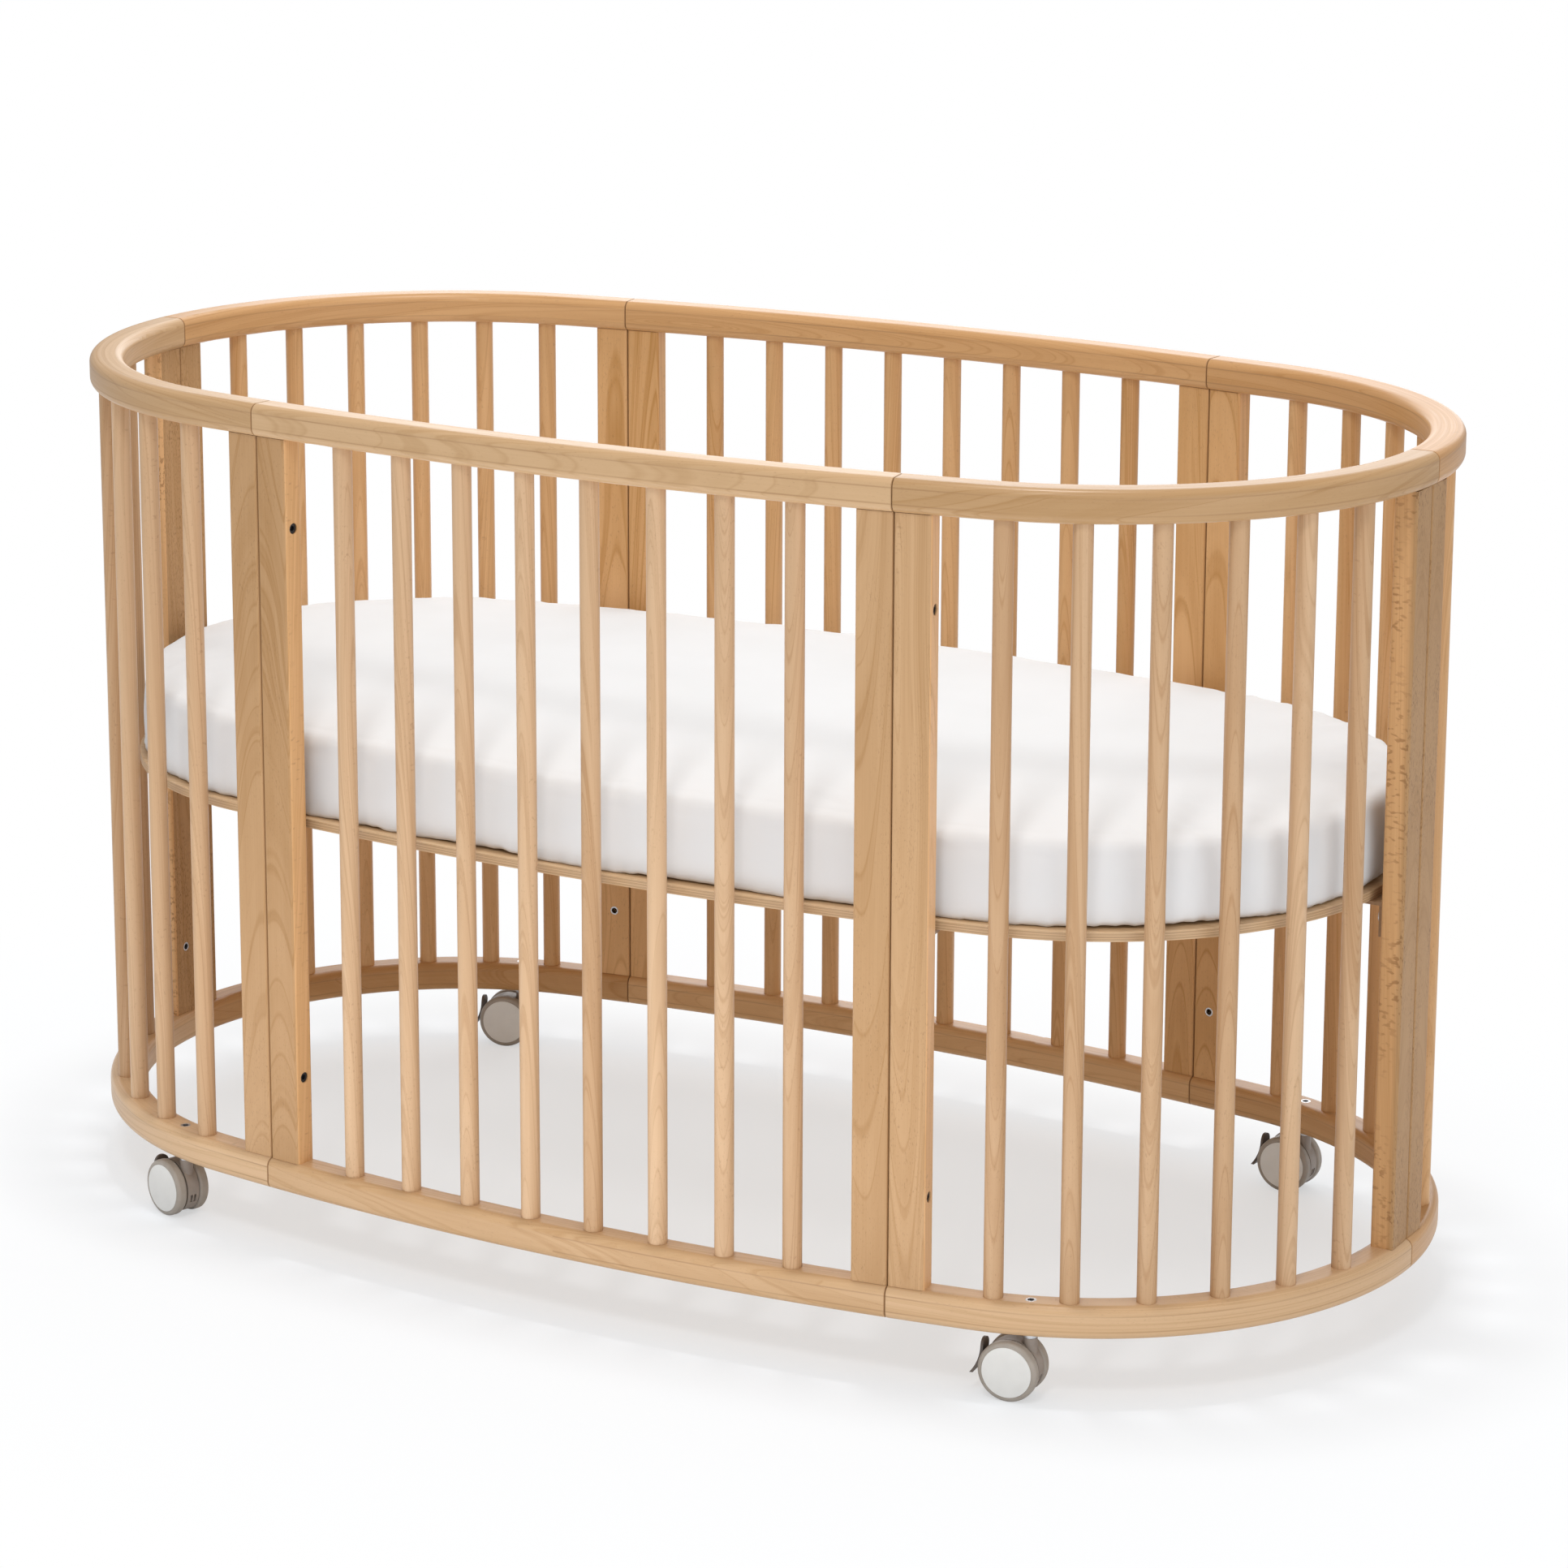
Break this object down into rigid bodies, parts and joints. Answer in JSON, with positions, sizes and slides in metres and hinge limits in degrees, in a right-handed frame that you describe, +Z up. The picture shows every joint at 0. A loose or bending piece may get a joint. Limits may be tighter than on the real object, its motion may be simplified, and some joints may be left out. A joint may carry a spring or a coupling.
{
  "type": "oval baby crib",
  "caption": "Oval slatted baby crib of beech with a bolted panel frame, plywood bed base, mattress and swivelling twin-wheel casters with brakes.",
  "frame": {"origin": "on the floor under the middle of the oval", "axes": "+X along the crib's length to the right, +Y to its back, +Z up; the front faces -Y"},
  "size_m": [1.396, 0.735, 0.8285],
  "materials": {
    "beech": "clear matt lacquer on beech",
    "plywood": "birch plywood with bare plies at the rim",
    "sheet": "white cotton fitted sheet",
    "black_steel": "black",
    "brown_steel": "beige brown paint, to go with the wood",
    "zinc_steel": "zinc plated",
    "taupe_plastic": "satin",
    "dark_plastic": "satin",
    "tread": "soft matt tread",
    "pale_plastic": "satin"
  },
  "bodies": {
    "frame": {"top_rail_front": "beech", "top_rail_right_front": "beech", "top_rail_right_back": "beech", "top_rail_back": "beech", "top_rail_left_back": "beech", "top_rail_left_front": "beech", "bottom_rail_front": "beech", "bottom_rail_right_front": "beech", "bottom_rail_right_back": "beech", "bottom_rail_back": "beech", "bottom_rail_left_back": "beech", "bottom_rail_left_front": "beech", "slats_front": "beech", "slats_right_front": "beech", "slats_right_back": "beech", "slats_back": "beech", "slats_left_back": "beech", "slats_left_front": "beech", "stiles_front_right": "beech", "stiles_right": "beech", "stiles_back_right": "beech", "stiles_back_left": "beech", "stiles_left": "beech", "stiles_front_left": "beech", "panel_bolts": "black_steel", "panel_nuts": "zinc_steel", "base_inserts": "zinc_steel", "base_brackets": "brown_steel", "base_fasteners": "zinc_steel", "bed_base": "plywood", "caster_stems": "zinc_steel"},
    "mattress": {"mattress": "sheet"},
    "caster_right_front": {"caster_body_right_front": "taupe_plastic", "caster_axle_right_front": "zinc_steel"},
    "pedal_right_front": {"brake_pedal_right_front": "dark_plastic"},
    "near_wheel_right_front": {"near_wheel_right_front": "tread", "near_wheel_cap_right_front": "pale_plastic"},
    "far_wheel_right_front": {"far_wheel_right_front": "tread", "far_wheel_cap_right_front": "pale_plastic"},
    "caster_right_back": {"caster_body_right_back": "taupe_plastic", "caster_axle_right_back": "zinc_steel"},
    "pedal_right_back": {"brake_pedal_right_back": "dark_plastic"},
    "near_wheel_right_back": {"near_wheel_right_back": "tread", "near_wheel_cap_right_back": "pale_plastic"},
    "far_wheel_right_back": {"far_wheel_right_back": "tread", "far_wheel_cap_right_back": "pale_plastic"},
    "caster_left_back": {"caster_body_left_back": "taupe_plastic", "caster_axle_left_back": "zinc_steel"},
    "pedal_left_back": {"brake_pedal_left_back": "dark_plastic"},
    "near_wheel_left_back": {"near_wheel_left_back": "tread", "near_wheel_cap_left_back": "pale_plastic"},
    "far_wheel_left_back": {"far_wheel_left_back": "tread", "far_wheel_cap_left_back": "pale_plastic"},
    "caster_left_front": {"caster_body_left_front": "taupe_plastic", "caster_axle_left_front": "zinc_steel"},
    "pedal_left_front": {"brake_pedal_left_front": "dark_plastic"},
    "near_wheel_left_front": {"near_wheel_left_front": "tread", "near_wheel_cap_left_front": "pale_plastic"},
    "far_wheel_left_front": {"far_wheel_left_front": "tread", "far_wheel_cap_left_front": "pale_plastic"}
  },
  "joints": [
    {"name": "mattress_lift", "type": "slide", "parent": "frame", "child": "mattress", "axis": [0, 0, 1], "range_m": [0, 0.42]},
    {"name": "swivel_right_front", "type": "hinge", "parent": "frame", "child": "caster_right_front", "pos_m": [0.46092, -0.30662, 0.05], "axis": [0, 0, 1], "continuous": true},
    {"name": "brake_right_front", "type": "hinge", "parent": "caster_right_front", "child": "pedal_right_front", "pos_m": [0.41945, -0.31098, 0.028], "axis": [0.1045, -0.9945, 0], "range_deg": [0, 18]},
    {"name": "near_wheel_right_front", "type": "hinge", "parent": "caster_right_front", "child": "near_wheel_right_front", "pos_m": [0.44531, -0.30826, 0.028], "axis": [0.1045, -0.9945, 0], "continuous": true},
    {"name": "far_wheel_right_front", "type": "hinge", "parent": "caster_right_front", "child": "far_wheel_right_front", "pos_m": [0.44531, -0.30826, 0.028], "axis": [0.1045, -0.9945, 0], "continuous": true},
    {"name": "swivel_right_back", "type": "hinge", "parent": "frame", "child": "caster_right_back", "pos_m": [0.46092, 0.30662, 0.05], "axis": [0, 0, 1], "continuous": true},
    {"name": "brake_right_back", "type": "hinge", "parent": "caster_right_back", "child": "pedal_right_back", "pos_m": [0.41926, 0.30844, 0.028], "axis": [-0.0436, -0.999, 0], "range_deg": [0, 18]},
    {"name": "near_wheel_right_back", "type": "hinge", "parent": "caster_right_back", "child": "near_wheel_right_back", "pos_m": [0.44523, 0.3073, 0.028], "axis": [-0.0436, -0.999, 0], "continuous": true},
    {"name": "far_wheel_right_back", "type": "hinge", "parent": "caster_right_back", "child": "far_wheel_right_back", "pos_m": [0.44523, 0.3073, 0.028], "axis": [-0.0436, -0.999, 0], "continuous": true},
    {"name": "swivel_left_back", "type": "hinge", "parent": "frame", "child": "caster_left_back", "pos_m": [-0.46092, 0.30662, 0.05], "axis": [0, 0, 1], "continuous": true},
    {"name": "brake_left_back", "type": "hinge", "parent": "caster_left_back", "child": "pedal_left_back", "pos_m": [-0.501, 0.29513, 0.028], "axis": [0.2756, -0.9613, 0], "range_deg": [0, 18]},
    {"name": "near_wheel_left_back", "type": "hinge", "parent": "caster_left_back", "child": "near_wheel_left_back", "pos_m": [-0.47601, 0.30229, 0.028], "axis": [0.2756, -0.9613, 0], "continuous": true},
    {"name": "far_wheel_left_back", "type": "hinge", "parent": "caster_left_back", "child": "far_wheel_left_back", "pos_m": [-0.47601, 0.30229, 0.028], "axis": [0.2756, -0.9613, 0], "continuous": true},
    {"name": "swivel_left_front", "type": "hinge", "parent": "frame", "child": "caster_left_front", "pos_m": [-0.46092, -0.30662, 0.05], "axis": [0, 0, 1], "continuous": true},
    {"name": "brake_left_front", "type": "hinge", "parent": "caster_left_front", "child": "pedal_left_front", "pos_m": [-0.50046, -0.29339, 0.028], "axis": [-0.3173, -0.9483, 0], "range_deg": [0, 18]},
    {"name": "near_wheel_left_front", "type": "hinge", "parent": "caster_left_front", "child": "near_wheel_left_front", "pos_m": [-0.47581, -0.30164, 0.028], "axis": [-0.3173, -0.9483, 0], "continuous": true},
    {"name": "far_wheel_left_front", "type": "hinge", "parent": "caster_left_front", "child": "far_wheel_left_front", "pos_m": [-0.47581, -0.30164, 0.028], "axis": [-0.3173, -0.9483, 0], "continuous": true}
  ]
}
